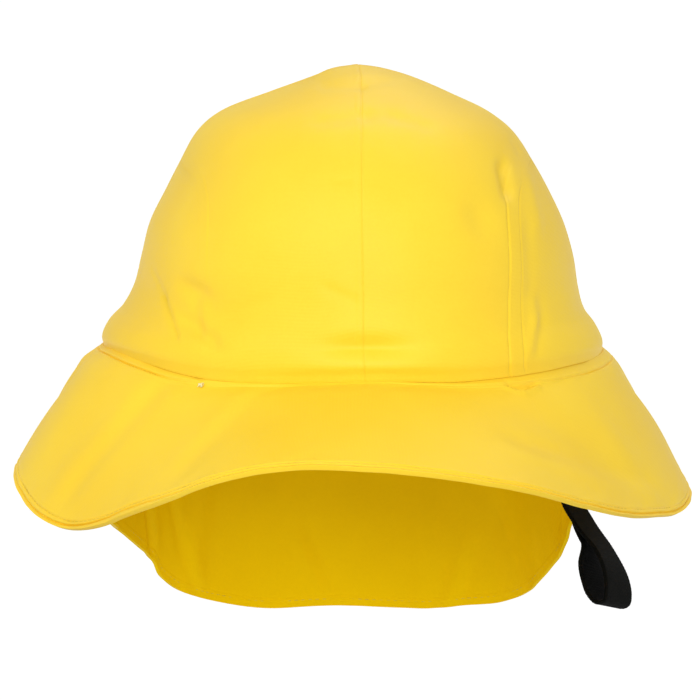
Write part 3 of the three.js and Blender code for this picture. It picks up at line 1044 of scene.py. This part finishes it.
# How high the band has to puff up to close the slit under the crown's lower edge
def puffUnderCrown(angle, at, away, fromGroove, values):
    line = np.argmin(np.abs(fromGroove), axis=0)
    columns = np.arange(at.shape[1])
    below = crownForm(angle[0], 0.0)[:, 2] - at[line, columns, 2]
    slit = mix(*values["slit"], smooth(np.abs(wrapped(angle[0])), *values["slitTurns"]))
    upright = np.maximum(away[line, columns, 2], values["uprightLeast"])
    return np.clip((below - slit) / upright, 0, values["puffMost"])


# The sheet of brim or flap between two angles, with its band, folds, sewn lines and hem
def bentSheet(name, start, end, values):
    angle, share, fromSeam, fromEdge = brimGrid(start, end, values)
    at, away = brimPoint(angle, share)
    at, away = standUp(at, away, angle, fromSeam)
    along = lengthAlong(at, 1)
    wander = values["waveHigh"] * ripple(along, values["waves"])
    side = np.sign(wrapped(angle))
    ledge = np.where(side > 0, values["ledge"][1], values["ledge"][-1])
    ledge = ledge * hump(np.abs(wrapped(angle)) - values["ledgeAt"], values["ledgeWide"])
    lift = ledge * smooth(fromSeam, *values["ledgeFrom"]) * (1 - smooth(fromSeam, *values["ledgeTo"]))
    band = follow(values["bandLine"], "apart", wrapped(angle))
    fromGroove = fromSeam - overhang(angle)
    puff = puffUnderCrown(angle, at + away * lift[..., None], away, fromGroove, values)
    puff = puff * smooth(fromGroove, *values["puffFrom"])
    lift = lift + puff * (1 - smooth(fromGroove, band, band + values["puffFades"]))
    hem = stitchGroove(fromEdge, angle, values["hemLine"])
    lift = lift + stitchGroove(fromGroove, angle, values["bandLine"]) + hem
    near = values["seamWaves"]
    seamWaves = near["share"] * hump(fromSeam - near["at"], near["wide"]) * smooth(fromSeam, *near["from"])
    lift = lift + wander * (hump(fromEdge, values["edgeWaves"]) + seamWaves)
    if values["hemGroove"]:
        apart, deep = (follow(values["hemGroove"], name, wrapped(angle)) for name in ("apart", "deep"))
        lift = lift - deep * hump(fromEdge - apart, values["grooveWide"])
        lift = lift + values["edgeProud"] * (1 - smooth(fromEdge, *values["edgeFrom"]))
    fold = follow(values["hemLine"], "apart", wrapped(angle)) + values["hemFolds"]
    ply = values["innerPly"] * (1 - smooth(fromEdge, fold, fold + values["plyEnds"]))
    inner = -values["wall"] - ply - hem * values["innerHem"] + lift * values["innerFollows"]
    sheet = newSheet(name, at + away * lift[..., None], at + away * inner[..., None], away, weaveOf(at))
    thicken(sheet, values["wall"], values["rim"])
    roundEdges(sheet, values["edgeRoll"], values["rollSteps"])
    smoothShade(sheet)
    return sheet


# Degrees from the joint of brim and flap to their edges and to their first stitch
jointGap = {"cloth": 0.03, "stitches": 0.3}


def brimSpan(gap):
    return -flapStarts + gap, flapStarts - gap


def flapSpan(gap):
    return flapStarts + gap, 360 - flapStarts - gap


brimPiece = bentSheet("brimCloth", *brimSpan(jointGap["cloth"]), brimSheet)
finishCloth(brimPiece, "brim")
print("stage: brim")
flapPiece = bentSheet("neckFlap", *flapSpan(jointGap["cloth"]), flapSheet)
finishCloth(flapPiece, "neck_flap")
print("stage: neck flap")


# Stitches
stitch = {"long": 2.3, "pitch": 2.9, "wide": 0.42, "high": 0.3, "sunk": 0.32}


# One stitch, modelled once, as plain arrays of points and faces
def oneStitch():
    deselectAll()
    bpy.ops.mesh.primitive_uv_sphere_add(segments=6, ring_count=5, radius=0.5)
    shape = bpy.context.object
    points = np.array([v.co[:] for v in shape.data.vertices])
    points = points[:, [2, 0, 1]] * [stitch["long"], stitch["wide"], stitch["high"]]
    faces = [tuple(face.vertices) for face in shape.data.polygons]
    bpy.data.objects.remove(shape)
    return points, faces


def addStitches(name, paths):
    shape, faces = oneStitch()
    points, polygons = [], []
    for line, away in paths:
        length = lengthAlong(line, 0)
        places = np.arange(stitch["pitch"] / 2, length[-1] - stitch["pitch"] / 2, stitch["pitch"])
        at = readAlong(places, length, line)
        up = unit(readAlong(places, length, away))
        along = unit(readAlong(places, length, np.gradient(line, axis=0)))
        across = unit(np.cross(up, along))
        for centre, x, y, z in zip(at, along, across, up):
            first = len(points) * len(shape)
            points.append(centre + shape @ np.array([x, y, z]))
            polygons += [tuple(first + corner for corner in face) for face in faces]
    mesh = bpy.data.meshes.new(name)
    mesh.from_pydata((np.concatenate(points) * mm).tolist(), [], polygons)
    piece = bpy.data.objects.new(name, mesh)
    bpy.context.collection.objects.link(piece)
    piece.data.materials.append(yellowThread)
    startEdit(piece, "SELECT")
    bpy.ops.mesh.normals_make_consistent(inside=False)
    bpy.ops.object.mode_set(mode="OBJECT")
    smoothShade(piece, 180)
    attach(piece, "root")


# A line of stitches at one distance from the seam or the edge, on the outer or inner face
def sewnLine(start, end, values, key, inner=False):
    angle, share, fromSeam, fromEdge = brimGrid(start, end, values)
    at, away = brimPoint(angle, share)
    rows = fromSeam - overhang(angle) if key == "band" else fromEdge
    apart = follow(values[key + "Line"], "apart", wrapped(angle[0]))
    line, normal = np.empty((2, at.shape[1], 3))
    for j in range(at.shape[1]):
        order = np.argsort(rows[:, j])
        line[j] = readAlong(apart[j], rows[order, j], at[order, j])
        normal[j] = readAlong(apart[j], rows[order, j], away[order, j])
    if inner:
        normal = -normal
        return line + normal * values["wall"], normal
    return line - normal * stitch["sunk"], normal


# A pale tuft of thread where the sewing of the band ends, as short curls that cross each other
knot = {
    "at": -35.4,
    "fromSeam": 5.4,
    "wide": 2.4,
    "thick": 0.34,
    "curls": 7,
    "points": 15,
    "fan": 38,
    "shift": 0.32,
    "shiftTurns": 2.6,
    "uneven": 0.3,
    "unevenTurns": 2.1,
    "bow": 0.3,
    "rise": 0.75,
    "wave": 0.35,
    "colour": (0.93, 0.86, 0.45),
}


def addKnot():
    angle = np.array([knot["at"]])
    shares, length = brimLengths(angle)
    at, away = brimPoint(angle, np.array([np.interp(knot["fromSeam"], length[:, 0], shares)]))
    at, up = at[0], away[0]
    x = unit(np.cross([0, 0, 1], up))
    y = np.cross(up, x)
    curls = []
    for k in range(knot["curls"]):
        turn = math.radians(knot["fan"] * (2 * k / (knot["curls"] - 1) - 1))
        shift = knot["shift"] * math.sin(knot["shiftTurns"] * k)
        t = np.linspace(-1, 1, knot["points"])[:, None]
        run = t * knot["wide"] / 2 * mix(1, math.cos(knot["unevenTurns"] * k), knot["uneven"])
        line = at + x * run * math.cos(turn) + up * (knot["rise"] + knot["wave"] * np.cos(2 * t + k))
        line = line + y * (run * math.sin(turn) + shift + knot["bow"] * np.sin(3 * t + k))
        bend = bpy.data.curves.new("curl", "CURVE")
        bend.dimensions = "3D"
        bend.bevel_depth = knot["thick"] / 2 * mm
        bend.bevel_resolution = 2
        bend.use_fill_caps = True
        spline = bend.splines.new("POLY")
        spline.points.add(len(line) - 1)
        for point, place in zip(spline.points, line * mm):
            point.co = (*place, 1)
        curl = bpy.data.objects.new("curl", bend)
        bpy.context.collection.objects.link(curl)
        pick(curl)
        bpy.ops.object.convert(target="MESH")
        curls.append(bpy.context.object)
    tuft = joinInto(*curls)
    tuft.name = "threadKnot"
    tuft.data.materials.append(threadMaterial("paleThread", knot["colour"]))
    smoothShade(tuft)
    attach(tuft, "root")


addKnot()
for name, (start, end), values in (
    ("brimStitches", brimSpan(jointGap["stitches"]), brimSheet),
    ("flapStitches", flapSpan(jointGap["stitches"]), flapSheet),
):
    band = sewnLine(start, end, values, "band")
    hem = sewnLine(start, end, values, "hem")
    hemInside = sewnLine(start, end, values, "hem", inner=True)
    addStitches(name, [band, hem, hemInside])
print("stage: stitches")


# Chin strap and its tab
webbing = {
    "width": 20,
    "thick": 1.5,
    "step": 0.35,
    "pick": 1.15,
    "pickHeight": 0.05,
    "acrossPoints": 15,
    "edgePoints": 5,
    "perSpan": 40,
    "merge": 0.01,
}
# The middle line, with the heading of the webbing's width (90 points to the back) and its tilt
strapRoute = table("x y z heading tilt", [
    [86, 12, 7, 98, 0],
    [86.4, 12, -1, 97, 0],
    [86.8, 11.5, -20, 84, 0],
    [83.4, 9.5, -41, 74, 0],
    [81.4, 6.8, -56.5, 68, 0],
    [86.6, 3, -67.2, 65, -4],
    [94, -1, -77.2, 65, -9],
    [98, -5.2, -86, 58, -13],
    [98.6, -8.2, -92.2, 55, -14],
    [97.8, -8.7, -95.6, 55, -14],
    [95, -7.2, -96.6, 55, -14],
    [92.2, -4.8, -94, 55, -13],
    [90.6, -2.2, -89.5, 56, -10],
    [89.4, 0.6, -83.6, 59, -6],
    [89.8, 4, -76, 65, -2],
    [86.6, 7.8, -68.8, 71, 0],
    [83.8, 10.8, -62, 74, 0],
])
tabRoute = table("x y z heading tilt", [
    [-86.1, 12, 7, 82, 0],
    [-86.5, 12, -1, 83, 0],
    [-87.4, 12, -13, 85, 0],
    [-87.8, 12, -25, 87, 0],
])


# A smooth line through the route's points, whose speed follows the distance between them
def smoothRoute(points):
    padded = np.vstack([2 * points[0] - points[1], points, 2 * points[-1] - points[-2]])
    line, place = [], []
    for k in range(len(points) - 1):
        p0, p1, p2, p3 = padded[k : k + 4]
        d0, d1, d2 = (math.sqrt(np.linalg.norm(b - a)) for a, b in ((p0, p1), (p1, p2), (p2, p3)))
        m1 = ((p1 - p0) / d0 - (p2 - p0) / (d0 + d1) + (p2 - p1) / d1) * d1
        m2 = ((p2 - p1) / d1 - (p3 - p1) / (d1 + d2) + (p3 - p2) / d2) * d1
        last = k == len(points) - 2
        for t in np.linspace(0, 1, webbing["perSpan"] + 1)[: None if last else -1]:
            bend = (3 * (p2 - p1) - 2 * m1 - m2) * t**2
            line.append(p1 + m1 * t + bend + (m1 + m2 - 2 * (p2 - p1)) * t**3)
            place.append(k + t)
    return np.array(line), np.array(place)


def webbingPiece(pieceName, route, node):
    points = np.stack([route["x"], route["y"], route["z"]], -1)
    line, place = smoothRoute(points)
    length = lengthAlong(line, 0)
    even = np.linspace(0, length[-1], int(length[-1] / webbing["step"]) + 1)
    at = readAlong(even, length, line)
    place = np.interp(even, length, place)
    numbered = {"order": np.arange(len(points), dtype=float), **route}
    heading, tilt = (np.radians(follow(numbered, name, place)) for name in ("heading", "tilt"))
    along = unit(np.gradient(at, axis=0))
    across = np.stack([np.cos(heading) * np.cos(tilt), np.sin(heading) * np.cos(tilt), np.sin(tilt)], -1)
    across = unit(across - along * (across * along).sum(-1, keepdims=True))
    through = unit(np.cross(across, along))
    # Section: a flat band with rounded selvages, from one edge over the front and back again
    half, thick = webbing["width"] / 2, webbing["thick"] / 2
    flat = np.linspace(-1, 1, webbing["acrossPoints"])
    corner = np.radians(np.linspace(90, -90, webbing["edgePoints"])[1:-1])
    front = np.stack([flat * (half - thick), thick + 0 * flat], -1)
    right = np.stack([half - thick + thick * np.cos(corner), thick * np.sin(corner)], -1)
    section = np.vstack([front, right, -front, -right])
    section = np.vstack([section, section[:1]])
    picks = webbing["pickHeight"] * np.sin(2 * math.pi * even / webbing["pick"])
    swell = 1 + picks[:, None] / thick
    grid = at[:, None] + across[:, None] * section[None, :, :1]
    grid = grid + through[:, None] * (section[None, :, 1:] * swell[..., None])
    around = lengthAlong(section[None], 1)[0]
    weave = np.stack(np.broadcast_arrays(around[None], even[:, None]), -1)
    band = newSheet(pieceName, grid, grid, grid - at[:, None], weave)
    band.data.attributes.remove(band.data.attributes["toInside"])
    mergeDoubles(band, webbing["merge"])
    startEdit(band, "DESELECT")
    bpy.ops.mesh.select_non_manifold()
    bpy.ops.mesh.edge_face_add()
    bpy.ops.object.mode_set(mode="OBJECT")
    smoothShade(band, 50)
    band.data.materials.clear()
    band.data.materials.append(blackWebbing)
    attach(band, "root")
    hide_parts(node)
    return band, even[-1]


strapPiece, strapLength = webbingPiece("chinStrap", strapRoute, "chin_strap")
tabPiece, tabLength = webbingPiece("strapTab", tabRoute, "strap_catch")
print("stage: strap, length", round(float(strapLength), 1), "tab", round(float(tabLength), 1))
